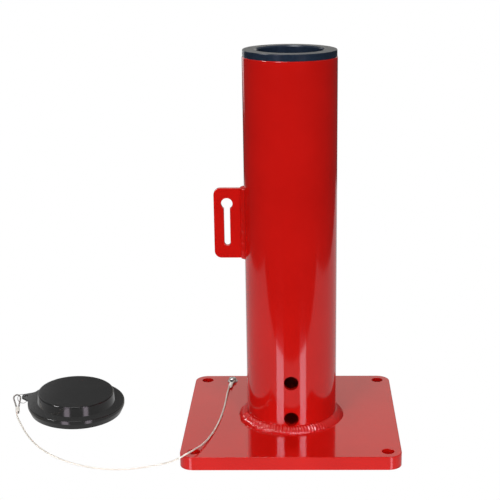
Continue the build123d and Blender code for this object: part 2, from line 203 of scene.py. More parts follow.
# how rough the run is, by turns round the sleeve from +X: neat at the right, lumpy at the left
# front
ROUGH_AT = (0.0, 0.1, 0.3, 0.46, 0.52, 0.72, 0.755, 0.80, 0.815, 0.85, 0.875, 1.0)
ROUGH_BY = (0.12, 0.3, 0.6, 0.8, 1.0, 1.0, 0.35, 0.35, 0.9, 0.9, 0.12, 0.12)
for vertex in foot_weld.data.vertices:
    turn = math.atan2(vertex.co.y, vertex.co.x) % (2 * math.pi)
    around = turn / (2 * math.pi)
    out = math.hypot(vertex.co.x, vertex.co.y) - (TUBE_R + BEAD_TOE / 2)
    climbed = math.atan2(vertex.co.z - PLATE_TOP - BEAD_HEAD / 2, out)
    row = round(climbed / (2 * math.pi) * BEAD_ROWS) % BEAD_ROWS
    rough = float(np.interp(around, ROUGH_AT, ROUGH_BY))
    toe = BEAD_TOE + BEAD_WAVER * waver(around, 1.3, (2, 5, 9)) \
        + rough * ripple_height(scallop, around * girth)
    climb = BEAD_HEAD + BEAD_WAVER * waver(around, 2.1, (3, 4, 11)) \
        + 0.7 * rough * ripple_height(scallop, around * girth + 1.3 * MM)
    if row > BEAD_TOP_ROW:
        buried = [(-BEAD_BURIED, BEAD_HEAD * 0.9), (-BEAD_BURIED, -BEAD_BURIED),
                  (toe * 0.9, -BEAD_BURIED)]
        reach, rise = buried[row - BEAD_TOP_ROW - 1]
    else:
        share = row / BEAD_TOP_ROW
        crescent = RIPPLE_CURVE * (2 * share - 1) ** 2
        skin = ripple_height(foot_marks, around * girth + crescent) * rough
        towards_edge = min(1.0, 6 * min(share + 0.03, 1.03 - share))
        bulge = BEAD_CROWN * 4 * share * (1 - share) + skin * towards_edge
        slant = math.hypot(toe, climb)
        reach = toe * (1 - share) + bulge * climb / slant - BEAD_SUNK
        rise = climb * share + bulge * toe / slant - BEAD_SUNK
    out = TUBE_R + reach
    vertex.co = (out * math.cos(turn), out * math.sin(turn), PLATE_TOP + rise)
bpy.ops.object.mode_set(mode="EDIT")
bpy.ops.mesh.select_all(action="SELECT")
bpy.ops.mesh.normals_make_consistent(inside=False)
bpy.ops.object.mode_set(mode="OBJECT")
bpy.ops.object.shade_smooth_by_angle(angle=math.radians(60))
foot_weld.data.materials.append(powder_coat)
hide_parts("base_weld_bead")
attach(foot_weld, "root")


# ---- welds of the chain lug ----------------------------------------------------------------------
# Two upright fillet welds, one up each side of the lug, smoother than the one at the foot because
# they were run on the flat; their ends are drawn off round.
LUG_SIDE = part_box("keyhole_lug")[1].y
WELD_LOW, WELD_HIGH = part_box("lug_weld_beads")
LUG_LEG = 5.0 * MM                      # reach over the lug and round the sleeve
LUG_CROWN = 0.9 * MM
LUG_END = 3.0 * MM                      # length of each rounded end
LUG_RIPPLE_PITCH = (1.9 * MM, 3.2 * MM)
LUG_RIPPLE_HEIGHT = (0.08 * MM, 0.28 * MM)
LUG_RIPPLE_CURVE = 1.2 * MM
LUG_ROWS = 12                           # mesh points across the face, and one buried
LUG_RINGS = 180                         # cuts along the weld
climb_length = WELD_HIGH.z - WELD_LOW.z
for side, name in ((-1, "lug_weld_front"), (1, "lug_weld_back")):
    bpy.ops.object.select_all(action="DESELECT")
    bpy.ops.mesh.primitive_cylinder_add(
        vertices=LUG_ROWS + 1, radius=LUG_LEG / 2, depth=climb_length,
        location=(-TUBE_R, side * LUG_LEG, (WELD_LOW.z + WELD_HIGH.z) / 2))
    lug_weld = bpy.context.object
    lug_weld.name = name
    bpy.ops.object.transform_apply(location=True, rotation=False, scale=False)
    bpy.ops.object.mode_set(mode="EDIT")
    bpy.ops.mesh.select_mode(type="EDGE")
    bpy.ops.mesh.select_all(action="DESELECT")
    shape = bmesh.from_edit_mesh(lug_weld.data)
    for edge in shape.edges:
        edge.select = abs(edge.verts[0].co.z - edge.verts[1].co.z) > climb_length / 2
    bmesh.update_edit_mesh(lug_weld.data)
    bpy.ops.mesh.subdivide(number_cuts=LUG_RINGS)
    bpy.ops.object.mode_set(mode="OBJECT")
    marks = ripple_marks(climb_length, LUG_RIPPLE_PITCH, LUG_RIPPLE_HEIGHT)
    for vertex in lug_weld.data.vertices:
        at = vertex.co.z - WELD_LOW.z
        turn = math.atan2(vertex.co.y - side * LUG_LEG, vertex.co.x + TUBE_R) % (2 * math.pi)
        corner = turn / (2 * math.pi) * (LUG_ROWS + 1) - 0.25 * (LUG_ROWS + 1)
        row = int(round(corner)) % (LUG_ROWS + 1)
        share = row / (LUG_ROWS - 1)
        from_end = min(at, climb_length - at)
        fade = math.sqrt(max(0.0, 1 - (1 - min(1.0, from_end / LUG_END)) ** 2))
        leg = LUG_LEG * (0.35 + 0.65 * fade) * (1 + 0.06 * waver(at / climb_length, side, (3, 7)))
        on_lug = Vector((-(TUBE_R + leg), side * (LUG_SIDE - 0.1 * MM)))
        spread = LUG_SIDE + leg
        on_tube = Vector((-math.sqrt(TUBE_R ** 2 - spread ** 2) + 0.1 * MM, side * spread))
        if row >= LUG_ROWS:
            spot = Vector((-(TUBE_R - 1.2 * MM), side * (LUG_SIDE - 0.5 * MM)))
        else:
            outward = Vector((-(spread - LUG_SIDE), side * (on_tube.x - on_lug.x))).normalized()
            if outward.x > 0:
                outward = -outward
            skin = ripple_height(marks, at + LUG_RIPPLE_CURVE * (2 * share - 1) ** 2)
            towards_edge = min(1.0, 5 * min(share, 1 - share) + 0.2)
            bulge = (LUG_CROWN * 4 * share * (1 - share) + skin * towards_edge) * fade
            spot = on_lug.lerp(on_tube, share) + outward * bulge
        vertex.co.x, vertex.co.y = spot
    bpy.ops.object.mode_set(mode="EDIT")
    bpy.ops.mesh.select_all(action="SELECT")
    bpy.ops.mesh.normals_make_consistent(inside=False)
    bpy.ops.object.mode_set(mode="OBJECT")
    bpy.ops.object.shade_smooth_by_angle(angle=math.radians(50))
    lug_weld.data.materials.append(powder_coat)
    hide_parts("lug_weld_beads")
    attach(lug_weld, "root")


# ---- bushes --------------------------------------------------------------------------------------
# Two bushes turned from black nylon rod and pressed into the sleeve: the upper one has a flange
# that covers the pipe's end, and both guide the post.

# Black nylon: the turned sides and bore get a blue-black base as a painted bluish highlight, while
# the flange's upper face is rubbed pale and matt by the post going in and out.
nylon = finish_named("Turned nylon, black")
tree = nylon.node_tree
coordinates = add(tree, "ShaderNodeTexCoord")
place = coordinates.outputs["Object"]
normal_parts = add(tree, "ShaderNodeSeparateXYZ",
                   links={"Vector": coordinates.outputs["Normal"]})
upper_face = add(tree, "ShaderNodeMapRange", values={"From Min": 0.75, "From Max": 0.95},
                 links={"Value": normal_parts.outputs["Z"]}).outputs["Result"]
scuff = add(tree, "ShaderNodeTexNoise", values={"Scale": 220.0, "Detail": 8.0, "Roughness": 0.75},
            links={"Vector": place})
# painted bluish highlight: the base colour is lifted to blue to stand in for reflections
painted_blue_sheen = add(tree, "ShaderNodeValToRGB", links={"Fac": scuff.outputs["Fac"]})
ramp_stops(painted_blue_sheen, [(0.35, linear("1A2432")), (0.8, linear("263244"))])
rubbed = add(tree, "ShaderNodeValToRGB", links={"Fac": scuff.outputs["Fac"]})
ramp_stops(rubbed, [(0.35, linear("36393C")), (0.55, linear("525557")), (0.75, linear("686A6B"))])
# a Mix node's sockets 6 and 7 are its two colours, and output 2 the mixed one
tone = add(tree, "ShaderNodeMix", settings={"data_type": "RGBA"},
           links={0: upper_face, 6: painted_blue_sheen.outputs["Color"], 7: rubbed.outputs["Color"]})
turned = add(tree, "ShaderNodeMapRange", values={"To Min": 0.2, "To Max": 0.5},
             links={"Value": upper_face})
# tool marks of the lathe run round the bush, 0.25 mm apart
rings = add(tree, "ShaderNodeTexWave", settings={"bands_direction": "Z"},
            values={"Scale": 1300.0, "Distortion": 0.4, "Detail": 1.0}, links={"Vector": place})
skin = add(tree, "ShaderNodeBump", values={"Strength": 0.1, "Distance": 0.00005},
           links={"Height": rings.outputs["Fac"]})
skin = add(tree, "ShaderNodeBump", values={"Strength": 0.15, "Distance": 0.0002},
           links={"Height": scuff.outputs["Fac"], "Normal": skin.outputs["Normal"]})
plastic = add(tree, "ShaderNodeBsdfPrincipled", values={"IOR": 1.53, "Specular IOR Level": 0.3},
              links={"Base Color": tone.outputs[2], "Roughness": turned.outputs["Result"],
                     "Normal": skin.outputs["Normal"]})
add(tree, "ShaderNodeOutputMaterial", links={"Surface": plastic.outputs["BSDF"]})
wear(nylon, "upper_bush", "lower_bush")


# ---- cap -----------------------------------------------------------------------------------------
# A cap moulded in one piece from black EPDM rubber, with a raised middle and a tab for its ring.
# It goes over the sleeve when no post is in it, and lies on the ground beside it otherwise.

# EPDM rubber: a deep black with a soft shine, which the fine grain of the mould blurs a little.
rubber = finish_named("Moulded EPDM rubber, black")
tree = rubber.node_tree
place = add(tree, "ShaderNodeTexCoord").outputs["Object"]
bloom = add(tree, "ShaderNodeTexNoise", values={"Scale": 40.0, "Detail": 5.0, "Roughness": 0.6},
            links={"Vector": place})
tone = add(tree, "ShaderNodeValToRGB", links={"Fac": bloom.outputs["Fac"]})
ramp_stops(tone, [(0.35, linear("0E0E0E")), (0.75, linear("161616"))])
grain = add(tree, "ShaderNodeTexNoise", values={"Scale": 900.0, "Detail": 2.0}, links={"Vector": place})
skin = add(tree, "ShaderNodeBump", values={"Strength": 0.2, "Distance": 0.0001},
           links={"Height": grain.outputs["Fac"]})
soft = add(tree, "ShaderNodeBsdfPrincipled", values={"IOR": 1.5, "Roughness": 0.13},
           links={"Base Color": tone.outputs["Color"], "Normal": skin.outputs["Normal"]})
add(tree, "ShaderNodeOutputMaterial", links={"Surface": soft.outputs["BSDF"]})
wear(rubber, "sleeve_cap")
# The sleeve's gloss shows the plate and the lights, and no dark spot from the cap beside it.
cad["sleeve_cap"].visible_glossy = False


# ---- lanyard -------------------------------------------------------------------------------------
# A 2 mm galvanised wire rope, six strands laid round a core, that keeps the cap with the sleeve.
# It comes off the ferrule on the plate, lies along the plate, drops over its front corner and
# curves round on the ground to the cap.
ROPE_D = 2.0 * MM
ROPE_LAY = 13.0 * MM                    # one turn of a strand
LAY_STEPS = 18                          # mesh rings in that turn
STRANDS = 6                             # round a seventh, the core
STRAND_SIDES = 8
ROUTE = [
    (-81.3, 83.5, 18.2), (-82.2, 72.0, 18.2), (-83.0, 52.0, 17.2), (-83.6, 24.0, 17.0),
    (-85.2, -6.0, 17.0), (-88.6, -37.0, 17.0), (-94.0, -69.0, 17.2), (-101.5, -97.0, 18.6),
    (-108.2, -113.4, 20.6), (-113.2, -123.0, 21.5), (-118.6, -128.4, 20.5), (-125.0, -130.4, 17.2),
    (-132.2, -128.0, 12.6), (-140.2, -123.6, 7.8), (-151.5, -120.2, 3.6), (-168.0, -121.8, 1.1),
    (-191.0, -127.6, 1.1), (-219.0, -125.4, 1.1), (-247.0, -113.6, 1.1), (-274.0, -94.4, 1.1),
    (-298.0, -68.0, 1.1), (-317.0, -37.0, 1.1), (-330.2, -8.5, 1.1), (-338.6, 11.0, 1.3),
    (-344.6, 24.4, 2.5), (-346.6, 33.8, 3.95),
]


def line_through(points):
    """The points of a smooth spline that has these as its control points."""
    route = bpy.data.curves.new("route", "CURVE")
    route.dimensions = "3D"
    route.resolution_u = 24
    spline = route.splines.new("NURBS")
    spline.points.add(len(points) - 1)
    for control, at in zip(spline.points, points):
        control.co = (*[part * MM for part in at], 1.0)
    spline.order_u = 3
    spline.use_endpoint_u = True
    carrier = bpy.data.objects.new("route", route)
    bpy.context.scene.collection.objects.link(carrier)
    bpy.context.view_layer.update()
    mesh = bpy.data.meshes.new_from_object(carrier)
    found = [vertex.co.copy() for vertex in mesh.vertices]
    bpy.data.objects.remove(carrier)
    bpy.data.meshes.remove(mesh)
    return found


def evenly(points, step):
    """The same line with its points a step apart."""
    line = np.array([tuple(point) for point in points])
    along = np.concatenate([[0], np.cumsum(np.linalg.norm(np.diff(line, axis=0), axis=1))])
    wanted = np.linspace(0, along[-1], max(2, int(round(along[-1] / step)) + 1))
    return np.stack([np.interp(wanted, along, line[:, axis]) for axis in range(3)], axis=1)


def frames_along(line):
    """Tangent and two normals at each point, turned as little as possible."""
    tangent = np.gradient(line, axis=0)
    tangent /= np.linalg.norm(tangent, axis=1)[:, None]
    first = np.cross(tangent[0], (0, 0, 1.0))
    if np.linalg.norm(first) < 0.1:
        first = np.cross(tangent[0], (1.0, 0, 0))
    normal = [first / np.linalg.norm(first)]
    for way in tangent[1:]:
        carried = normal[-1] - way * np.dot(normal[-1], way)
        normal.append(carried / np.linalg.norm(carried))
    normal = np.array(normal)
    return tangent, normal, np.cross(tangent, normal)


def rope_along(name, points, lay_start=0.0):
    """Six strands and a core that follow a line, as one mesh with a UV map along the strands."""
    line = evenly(points, ROPE_LAY / LAY_STEPS)
    tangent, side, up = frames_along(line)
    travelled = np.concatenate([[0], np.cumsum(np.linalg.norm(np.diff(line, axis=0), axis=1))])
    strand_r = ROPE_D / 6
    sides = STRAND_SIDES
    vertices, faces, uvs = [], [], []
    for strand in range(STRANDS + 1):
        swing = 2 * np.pi * (travelled / ROPE_LAY + strand / STRANDS) + lay_start
        out = np.cos(swing)[:, None] * side + np.sin(swing)[:, None] * up
        off = 0.0 if strand == STRANDS else 2 * strand_r
        centre = line + off * out
        way = np.gradient(centre, axis=0)
        way /= np.linalg.norm(way, axis=1)[:, None]
        across = np.cross(way, out)
        across /= np.linalg.norm(across, axis=1)[:, None]
        outward = np.cross(across, way)
        base = len(vertices)
        for place, (point, a, b) in enumerate(zip(centre, outward, across)):
            for corner in range(sides):
                turn = 2 * math.pi * corner / sides
                vertices.append(tuple(point + strand_r * (math.cos(turn) * a + math.sin(turn) * b)))
        for place in range(len(centre) - 1):
            for corner in range(sides):
                beside = (corner + 1) % sides
                row = base + place * sides
                faces.append((row + corner, row + beside, row + sides + beside, row + sides + corner))
                u0, u1 = travelled[place] / MM, travelled[place + 1] / MM
                v0, v1 = corner / sides, (corner + 1) / sides
                uvs += [(u0, v0), (u0, v1), (u1, v1), (u1, v0)]
        last = base + (len(centre) - 1) * sides
        faces.append(tuple(base + corner for corner in reversed(range(sides))))
        faces.append(tuple(last + corner for corner in range(sides)))
        uvs += [(0, 0)] * (2 * sides)
    mesh = bpy.data.meshes.new(name)
    mesh.from_pydata(vertices, [], faces)
    layer = mesh.uv_layers.new(name="strand")
    layer.data.foreach_set("uv", [part for uv in uvs for part in uv])
    mesh.polygons.foreach_set("use_smooth", [True] * len(mesh.polygons))
    mesh.update()
    made = bpy.data.objects.new(name, mesh)
    bpy.context.scene.collection.objects.link(made)
    recalculated = bmesh.new()
    recalculated.from_mesh(mesh)
    bmesh.ops.recalc_face_normals(recalculated, faces=recalculated.faces)
    recalculated.to_mesh(mesh)
    recalculated.free()
    return made


# Bright galvanised wire: pale, a little dull, with the fine wires of each strand as thin ridges.
wire = finish_named("Galvanised steel wire rope")
tree = wire.node_tree
strand = add(tree, "ShaderNodeUVMap", settings={"uv_map": "strand"}).outputs["UV"]
wires = add(tree, "ShaderNodeMapping", values={"Scale": (0.35, 6.0, 1.0)}, links={"Vector": strand})
bands = add(tree, "ShaderNodeTexWave", settings={"bands_direction": "DIAGONAL"},
            values={"Scale": 1.0, "Distortion": 0.0}, links={"Vector": wires.outputs["Vector"]})
skin = add(tree, "ShaderNodeBump", values={"Strength": 0.5, "Distance": 0.00005},
           links={"Height": bands.outputs["Fac"]})
metal = add(tree, "ShaderNodeBsdfPrincipled",
            values={"Base Color": linear("EAE4DA"), "Metallic": 0.3, "Roughness": 0.42},
            links={"Normal": skin.outputs["Normal"]})
add(tree, "ShaderNodeOutputMaterial", links={"Surface": metal.outputs["BSDF"]})

# The same rope for the cap's eye, darker: painted shade, as that eye mirrors the dark room.
shaded_wire = wire.copy()
shaded_wire.name = "Galvanised steel wire rope, painted shade"
dull = shaded_wire.node_tree.nodes[metal.name]
dull.inputs["Base Color"].default_value = linear("85827D")
dull.inputs["Metallic"].default_value = 0.8

rope_line = line_through(ROUTE)
rope = rope_along("lanyard_rope", rope_line)
rope.data.materials.append(wire)
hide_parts("lanyard_cable")
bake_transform(rope)


# ---- eyes of the lanyard -------------------------------------------------------------------------
# At each end the rope turns back on itself in a small loop, and its cut end shows past the
# ferrule.  The one on the plate goes round the rivet, the other through the split ring.
LEG_APART = 1.05 * MM                   # each leg from the middle of the ferrule
EYE_REACH = 12.3 * MM                   # ferrule to the middle of the round end
EYE_ROUND = 4.2 * MM                    # radius of that end
EYE_STEPS = 40                          # points round it
IN_FERRULE = 1.0 * MM                   # rope hidden in each mouth of the ferrule
FERRULE_LENGTH = 11.0 * MM
TAIL_LENGTH = 3.0 * MM
TAIL_TWIST = 0.7                        # its strands start elsewhere than the eye's
EYE_RISE = math.radians(52)             # the cap's eye climbs to its ring


def heading(start, end):
    """Direction from one route point to another."""
    return (Vector(end) - Vector(start)).normalized()


def sideways(along):
    """Level direction from the rope's long part to its dead end."""
    return along.cross(Vector((0, 0, 1))).normalized()


def eye_line(start, along):
    """Points round a teardrop loop that starts and ends at the ferrule's face."""
    side = sideways(along)
    reach = math.hypot(LEG_APART, EYE_REACH)
    leg = math.sqrt(reach ** 2 - EYE_ROUND ** 2)
    angle = math.atan2(EYE_REACH, LEG_APART) + math.asin(EYE_ROUND / reach)
    touch = (-LEG_APART + leg * math.cos(angle), leg * math.sin(angle))
    begin = math.atan2(touch[1] - EYE_REACH, touch[0])
    if begin < 0:
        begin += 2 * math.pi
    sweep = begin - (math.pi - begin)
    turns = [begin - sweep * step / EYE_STEPS for step in range(EYE_STEPS + 1)]
    bend = [(EYE_ROUND * math.cos(turn), EYE_REACH + EYE_ROUND * math.sin(turn)) for turn in turns]
    flat = [(-LEG_APART, -IN_FERRULE), *bend, (LEG_APART, -IN_FERRULE)]
    return [start + side * across + along * forward for across, forward in flat]


def joined(name, parts):
    """Several meshes as one object."""
    bpy.ops.object.select_all(action="DESELECT")
    for part in parts:
        part.select_set(True)
    bpy.context.view_layer.objects.active = parts[0]
    bpy.ops.object.join()
    made = bpy.context.object
    made.name = name
    return made


base_way = heading(ROUTE[1], ROUTE[0])
cap_way = heading(ROUTE[-2], ROUTE[-1])
base_ferrule_at = Vector(ROUTE[0]) * MM + sideways(base_way) * LEG_APART
cap_ferrule_at = Vector(ROUTE[-1]) * MM + sideways(cap_way) * LEG_APART
base_eye_at = base_ferrule_at + base_way * FERRULE_LENGTH
cap_eye_at = cap_ferrule_at + cap_way * FERRULE_LENGTH
cap_level = Vector((cap_way.x, cap_way.y, 0)).normalized()
cap_rise = cap_level * math.cos(EYE_RISE) + Vector((0, 0, math.sin(EYE_RISE)))
# The cap's eye takes the rope's copy that is darkened as painted shade.
for name, node, body, start, along, ferrule_at, way, finish in (
        ("plate_eye", "base_end_eye", "root", base_eye_at, base_way, base_ferrule_at, base_way,
         wire),
        ("cap_eye", "cap_end_eye", "cap", cap_eye_at, cap_rise, cap_ferrule_at, cap_way,
         shaded_wire)):
    loop = rope_along(name, eye_line(start, along))
    tail_from = ferrule_at + sideways(way) * LEG_APART + way * IN_FERRULE
    tail_to = tail_from - way * (TAIL_LENGTH + IN_FERRULE)
    tail = rope_along(name + "_tail", [tail_from, tail_to], lay_start=TAIL_TWIST)
    eye = joined(name, [loop, tail])
    eye.data.materials.append(finish)
    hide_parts(node)
    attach(eye, body)


# ---- ferrules ------------------------------------------------------------------------------------
# An oval aluminium sleeve pressed over both parts of the rope, which leaves three flats pinched
# across it and two plump ridges between them.
FERRULE_WIDE = 5.2 * MM
FERRULE_HIGH = 3.4 * MM
# millimetres from one end, and the width there as a share of the full one
PRESSED = [(0.0, 0.86), (0.3, 0.97), (1.1, 1.0), (1.7, 1.0), (2.3, 0.88), (3.5, 0.87),
           (4.1, 1.0), (4.7, 1.0), (5.3, 0.88), (6.2, 0.87), (6.8, 1.0), (7.4, 1.0),
           (8.0, 0.88), (8.9, 0.87), (9.5, 1.0), (9.9, 1.0), (10.7, 0.97), (11.0, 0.86)]

# Drawn aluminium, pressed in a tool: bright and soft looking, with a fine grain.
aluminium = finish_named("Pressed aluminium")
tree = aluminium.node_tree
place = add(tree, "ShaderNodeTexCoord").outputs["Object"]
rub = add(tree, "ShaderNodeTexNoise", values={"Scale": 1500.0, "Detail": 3.0}, links={"Vector": place})
skin = add(tree, "ShaderNodeBump", values={"Strength": 0.25, "Distance": 0.00005},
           links={"Height": rub.outputs["Fac"]})
metal = add(tree, "ShaderNodeBsdfPrincipled",
            values={"Base Color": linear("F2EEE6"), "Metallic": 0.5, "Roughness": 0.45},
            links={"Normal": skin.outputs["Normal"]})
add(tree, "ShaderNodeOutputMaterial", links={"Surface": metal.outputs["BSDF"]})

for name, node, body, start, way in (
        ("plate_ferrule", "base_end_ferrule", "root", base_ferrule_at, base_way),
        ("cap_ferrule", "cap_end_ferrule", "cap", cap_ferrule_at, cap_way)):
    bpy.ops.object.select_all(action="DESELECT")
    bpy.ops.mesh.primitive_circle_add(vertices=40, radius=FERRULE_HIGH / 2, fill_type="NGON")
    ferrule = bpy.context.object
    ferrule.name = name
    for vertex in ferrule.data.vertices:
        vertex.co.x += math.copysign((FERRULE_WIDE - FERRULE_HIGH) / 2, vertex.co.x)
    bpy.ops.object.mode_set(mode="EDIT")
    bpy.ops.mesh.select_all(action="SELECT")
    before, size = 0.0, 1.0
    for reach, wide in PRESSED:
        if reach > 0:
            bpy.ops.mesh.extrude_region_move(
                TRANSFORM_OT_translate={"value": (0, 0, (reach - before) * MM)})
        bpy.ops.transform.resize(value=(wide / size, wide / size, 1),
                                 center_override=(0, 0, reach * MM))
        before, size = reach, wide
    bpy.ops.mesh.select_all(action="SELECT")
    bpy.ops.mesh.normals_make_consistent(inside=False)
    bpy.ops.object.mode_set(mode="OBJECT")
    side = sideways(way)
    turn = Matrix((side, way.cross(side), way)).transposed().to_4x4()
    ferrule.data.transform(Matrix.Translation(start) @ turn)
    bpy.ops.object.shade_smooth_by_angle(angle=math.radians(40))
    ferrule.data.materials.append(aluminium)
    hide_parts(node)
    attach(ferrule, body)


# ---- split ring ----------------------------------------------------------------------------------
# A key ring of round stainless spring wire wound twice, threaded through the cap's tab and the
# rope's eye.
RING_LOW, RING_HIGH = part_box("split_ring")
ring_centre = (RING_LOW + RING_HIGH) / 2
RING_THICK = (RING_HIGH.y - RING_LOW.y) / 2     # each of the two turns
RING_R = (RING_HIGH.x - RING_LOW.x) / 2 - RING_THICK
RING_WIRE_R = RING_THICK * 0.48                 # thicker than the turns' spacing, so they merge
RING_WOUND = math.radians(700)                  # a little short of two turns
RING_STEPS = 150
RING_ENDS = math.radians(35)                    # where the wire's ends lie

# Spring wire: a dull dark grey, painted shade of the dark room the ring mirrors, with fine rub marks
# that break up its shine.
spring_wire_painted_dark = finish_named("Stainless spring wire, darkened as painted shade")
tree = spring_wire_painted_dark.node_tree
place = add(tree, "ShaderNodeTexCoord").outputs["Object"]
rub = add(tree, "ShaderNodeTexNoise", values={"Scale": 900.0, "Detail": 2.0}, links={"Vector": place})
gloss = add(tree, "ShaderNodeMapRange", values={"To Min": 0.22, "To Max": 0.38},
            links={"Value": rub.outputs["Fac"]})
metal = add(tree, "ShaderNodeBsdfPrincipled", values={"Base Color": linear("5B5A58"), "Metallic": 1.0},
            links={"Roughness": gloss.outputs["Result"]})
add(tree, "ShaderNodeOutputMaterial", links={"Surface": metal.outputs["BSDF"]})
head_node = metal.name
bpy.ops.object.select_all(action="DESELECT")
bpy.ops.mesh.primitive_circle_add(vertices=12, radius=RING_WIRE_R, fill_type="NGON",
                                  location=(RING_R, 0, -RING_THICK / 2),
                                  rotation=(math.radians(90), 0, 0))
ring = bpy.context.object
ring.name = "wound_ring"
bpy.ops.object.transform_apply(location=True, rotation=True, scale=True)
wound = ring.modifiers.new("wound twice", "SCREW")
wound.angle = RING_WOUND
wound.screw_offset = RING_THICK * 0.98
wound.steps = RING_STEPS
wound.render_steps = RING_STEPS
wound.axis = "Z"
bpy.ops.object.modifier_apply(modifier=wound.name)
bpy.ops.object.mode_set(mode="EDIT")
bpy.ops.mesh.select_all(action="SELECT")
bpy.ops.mesh.remove_doubles(threshold=1e-6)
bpy.ops.mesh.fill_holes(sides=12)          # the wire's two cut ends
bpy.ops.mesh.normals_make_consistent(inside=False)
bpy.ops.object.mode_set(mode="OBJECT")
ring.data.transform(Matrix.Translation(ring_centre) @ Matrix.Rotation(math.radians(90), 4, "X")
                    @ Matrix.Rotation(RING_ENDS, 4, "Z"))
bpy.ops.object.shade_smooth_by_angle(angle=math.radians(50))
ring.data.materials.append(spring_wire_painted_dark)
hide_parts("split_ring")
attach(ring, "ring")


# ---- rivet and washer ----------------------------------------------------------------------------
# A blind rivet with a domed head and the broken stem in its middle, over a zinc-plated washer,
# holds the fixed eye to the plate.
RIVET_LOW, RIVET_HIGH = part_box("lanyard_rivet")
WASHER_LOW, WASHER_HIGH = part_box("rivet_washer")
rivet_x, rivet_y = (RIVET_LOW.x + RIVET_HIGH.x) / 2, (RIVET_LOW.y + RIVET_HIGH.y) / 2
HEAD_R = (RIVET_HIGH.x - RIVET_LOW.x) / 2
HEAD_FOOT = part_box("base_end_eye")[1].z + 0.1 * MM      # just clear of the eye
HEAD_H = RIVET_HIGH.z - HEAD_FOOT
SHANK_R = 2.4 * MM
# from the shank over the dome and into the broken stem: radius, and height as a share of the head's
HEAD_PROFILE = [(HEAD_R * 0.97, 0.0), (HEAD_R, 0.12), (HEAD_R * 0.97, 0.3), (HEAD_R * 0.86, 0.58),
                (HEAD_R * 0.68, 0.8), (HEAD_R * 0.46, 0.95), (HEAD_R * 0.33, 1.0),
                (HEAD_R * 0.28, 0.95), (HEAD_R * 0.26, 0.62), (HEAD_R * 0.24, 0.6),
                (HEAD_R * 0.2, 0.78), (HEAD_R * 0.1, 0.86)]
bpy.ops.object.select_all(action="DESELECT")
bpy.ops.mesh.primitive_circle_add(vertices=48, radius=SHANK_R, fill_type="NGON",
                                  location=(rivet_x, rivet_y, RIVET_LOW.z))
rivet = bpy.context.object
rivet.name = "blind_rivet"
bpy.ops.object.transform_apply(location=True, rotation=False, scale=False)
bpy.ops.object.mode_set(mode="EDIT")
bpy.ops.mesh.select_all(action="SELECT")
bpy.ops.mesh.extrude_region_move(TRANSFORM_OT_translate={"value": (0, 0, HEAD_FOOT - RIVET_LOW.z)})
before_r, before_h = SHANK_R, 0.0
for radius, height in HEAD_PROFILE:
    bpy.ops.mesh.extrude_region_move(
        TRANSFORM_OT_translate={"value": (0, 0, (height - before_h) * HEAD_H)})
    bpy.ops.transform.resize(value=(radius / before_r, radius / before_r, 1),
                             center_override=(rivet_x, rivet_y, HEAD_FOOT + height * HEAD_H))
    before_r, before_h = radius, height
bpy.ops.mesh.select_all(action="SELECT")
bpy.ops.mesh.normals_make_consistent(inside=False)
bpy.ops.object.mode_set(mode="OBJECT")
bpy.ops.object.shade_smooth_by_angle(angle=math.radians(50))
# The rivet's head: the same steel at its own pale colour, without the painted shade of the ring.
bright_head = spring_wire_painted_dark.copy()
bright_head.name = "Stainless steel, rivet head"
bright_head.node_tree.nodes[head_node].inputs["Base Color"].default_value = linear("CCCBC8")
rivet.data.materials.append(bright_head)
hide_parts("lanyard_rivet")
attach(rivet, "root")

# Zinc plate: bluish grey, with the faint blotches of its passivation.
zinc = finish_named("Zinc plate, clear passivated")
tree = zinc.node_tree
place = add(tree, "ShaderNodeTexCoord").outputs["Object"]
blotch = add(tree, "ShaderNodeTexNoise", values={"Scale": 500.0, "Detail": 3.0}, links={"Vector": place})
tone = add(tree, "ShaderNodeValToRGB", links={"Fac": blotch.outputs["Fac"]})
ramp_stops(tone, [(0.3, linear("A9ACAF")), (0.7, linear("C6C8C8"))])
metal = add(tree, "ShaderNodeBsdfPrincipled", values={"Metallic": 0.6, "Roughness": 0.4},
            links={"Base Color": tone.outputs["Color"]})
add(tree, "ShaderNodeOutputMaterial", links={"Surface": metal.outputs["BSDF"]})
WASHER_R = (WASHER_HIGH.x - WASHER_LOW.x) / 2
WASHER_T = WASHER_HIGH.z - WASHER_LOW.z
WASHER_HOLE = 2.45 * MM
bpy.ops.object.select_all(action="DESELECT")
bpy.ops.mesh.primitive_cylinder_add(
    vertices=64, radius=WASHER_R, depth=WASHER_T, end_fill_type="NOTHING",
    location=(rivet_x, rivet_y, (WASHER_LOW.z + WASHER_HIGH.z) / 2))
washer = bpy.context.object
washer.name = "flat_washer"
bpy.ops.object.transform_apply(location=True, rotation=False, scale=False)
bpy.ops.object.mode_set(mode="EDIT")
bpy.ops.mesh.select_all(action="SELECT")
bpy.ops.mesh.duplicate()
bpy.ops.transform.resize(value=(WASHER_HOLE / WASHER_R, WASHER_HOLE / WASHER_R, 1),
                         center_override=(rivet_x, rivet_y, (WASHER_LOW.z + WASHER_HIGH.z) / 2))
shape = bmesh.from_edit_mesh(washer.data)
for level in (WASHER_LOW.z, WASHER_HIGH.z):
    bpy.ops.mesh.select_all(action="DESELECT")
    bpy.ops.mesh.select_mode(type="EDGE")
    for edge in shape.edges:
        edge.select = all(abs(corner.co.z - level) < 1e-6 for corner in edge.verts)
    bmesh.update_edit_mesh(washer.data)
    bpy.ops.mesh.bridge_edge_loops()
    shape = bmesh.from_edit_mesh(washer.data)
bpy.ops.mesh.select_all(action="SELECT")
bpy.ops.mesh.normals_make_consistent(inside=False)
bpy.ops.object.mode_set(mode="OBJECT")
broken = washer.modifiers.new("punched edge", "BEVEL")
broken.width = 0.15 * MM
broken.segments = 2
broken.limit_method = "ANGLE"
bpy.ops.object.modifier_apply(modifier=broken.name)
bpy.ops.object.shade_smooth_by_angle(angle=math.radians(50))
washer.data.materials.append(zinc)
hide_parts("rivet_washer")
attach(washer, "root")


